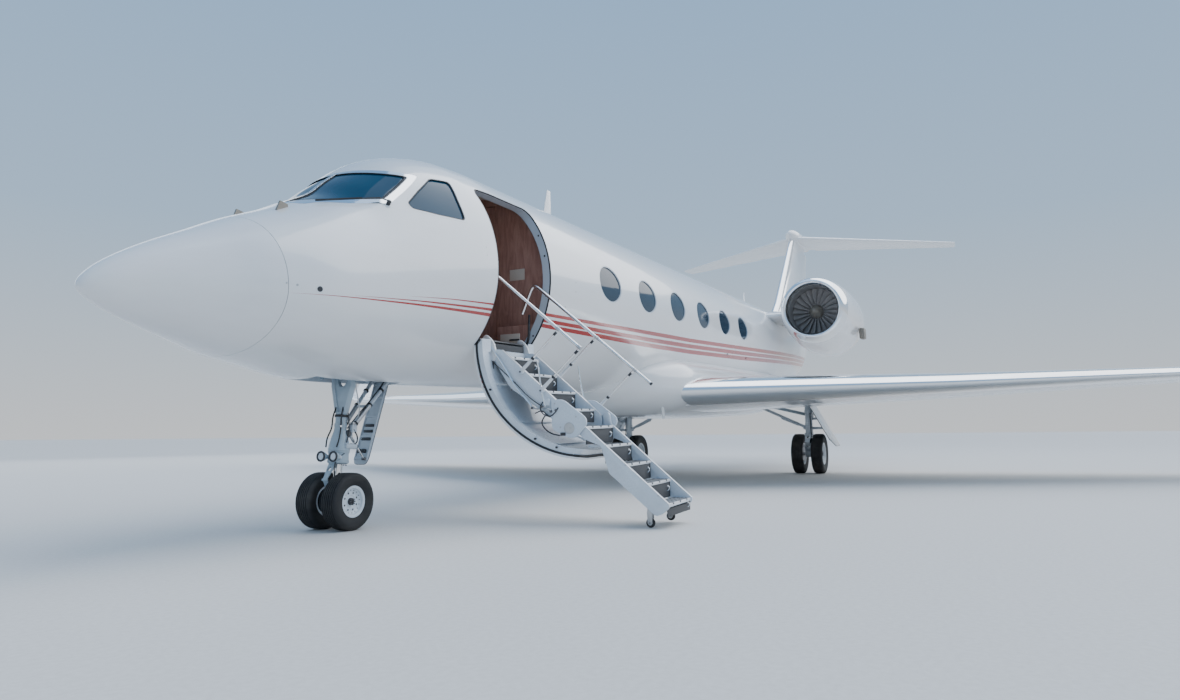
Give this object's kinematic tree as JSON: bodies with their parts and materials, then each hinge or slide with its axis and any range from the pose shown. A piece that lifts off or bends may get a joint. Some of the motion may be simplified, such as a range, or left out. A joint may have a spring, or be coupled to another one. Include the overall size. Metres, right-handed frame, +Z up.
{
  "type": "business jet",
  "caption": "Twin-engined swept-wing business jet on its landing gear, with turning wheels and fans, nose steering and a folding airstair.",
  "frame": {"origin": "on the ground under the middle of the whole length, between the tyres of the main gear and the nose gear", "axes": "+X forward along the length, +Y to port (the door side), +Z up"},
  "size_m": [26.8189, 23.7404, 7.6794],
  "materials": {
    "white_paint": "gloss",
    "polished_metal": "polished",
    "gear_paint": "satin",
    "tyre": "matte",
    "window_glass": "clear, dark",
    "dark_metal": "matte",
    "cabin_trim": "lacquered veneer",
    "cockpit_trim": "matte",
    "step_tread": "grit"
  },
  "bodies": {
    "airframe": {"aileron_port": "white_paint", "aileron_starboard": "white_paint", "belly_fairing": "white_paint", "cabin_barrel": "white_paint", "cabin_door": "white_paint", "cabin_floor": "cabin_trim", "cabin_windows_port": "window_glass", "cabin_windows_starboard": "window_glass", "cockpit_seats_and_panel": "cockpit_trim", "cockpit_windows": "window_glass", "elevator_port": "white_paint", "elevator_starboard": "white_paint", "engine_core_port": "dark_metal", "engine_core_starboard": "dark_metal", "engine_cowl_port": "white_paint", "engine_cowl_starboard": "white_paint", "fin": "white_paint", "flap_port": "white_paint", "flap_starboard": "white_paint", "fuselage_front": "white_paint", "handrail_back": "polished_metal", "handrail_front": "polished_metal", "intake_lip_port": "polished_metal", "intake_lip_starboard": "polished_metal", "leading_edge_port": "polished_metal", "leading_edge_starboard": "polished_metal", "main_gear_door_port": "white_paint", "main_gear_door_starboard": "white_paint", "main_leg_port": "gear_paint", "main_leg_starboard": "gear_paint", "nose_leg_fixed": "gear_paint", "pylon_port": "white_paint", "pylon_starboard": "white_paint", "radome": "white_paint", "rudder": "white_paint", "stair_upper": "step_tread", "tail_bullet": "white_paint", "tail_section": "white_paint", "tailplane": "white_paint", "wing_port": "white_paint", "wing_starboard": "white_paint", "winglet_port": "white_paint", "winglet_starboard": "white_paint"},
    "nose_leg_steered": {"nose_leg_steered": "gear_paint"},
    "nose_wheels": {"nose_wheels": "tyre"},
    "lower_stair": {"stair_lower": "step_tread"},
    "main_wheels_port": {"main_wheels_port": "tyre"},
    "fan_port": {"fan_port": "dark_metal"},
    "main_wheels_starboard": {"main_wheels_starboard": "tyre"},
    "fan_starboard": {"fan_starboard": "dark_metal"}
  },
  "joints": [
    {"name": "nose_steering", "type": "hinge", "parent": "airframe", "child": "nose_leg_steered", "pos_m": [11.01, 0, 0.262], "axis": [-0.0658, 0, 0.9978], "range_deg": [-60, 60]},
    {"name": "nose_wheels_spin", "type": "hinge", "parent": "nose_leg_steered", "child": "nose_wheels", "pos_m": [11.01, 0, 0.262], "axis": [0, 1, 0], "continuous": true},
    {"name": "main_wheels_port_spin", "type": "hinge", "parent": "airframe", "child": "main_wheels_port", "pos_m": [-0.533, 2.085, 0.415], "axis": [0, 1, 0], "continuous": true},
    {"name": "main_wheels_starboard_spin", "type": "hinge", "parent": "airframe", "child": "main_wheels_starboard", "pos_m": [-0.533, -2.085, 0.415], "axis": [0, 1, 0], "continuous": true},
    {"name": "fan_port_spin", "type": "hinge", "parent": "airframe", "child": "fan_port", "pos_m": [-1.91496, 2.09, 3.64623], "axis": [0.9997, 0, -0.0254], "continuous": true},
    {"name": "fan_starboard_spin", "type": "hinge", "parent": "airframe", "child": "fan_starboard", "pos_m": [-1.91496, -2.09, 3.64623], "axis": [0.9997, 0, -0.0254], "continuous": true},
    {"name": "lower_stair_fold", "type": "hinge", "parent": "airframe", "child": "lower_stair", "pos_m": [9.5125, 1.94, 1.03552], "axis": [0.9997, 0, -0.0254], "range_deg": [0, 180]}
  ]
}
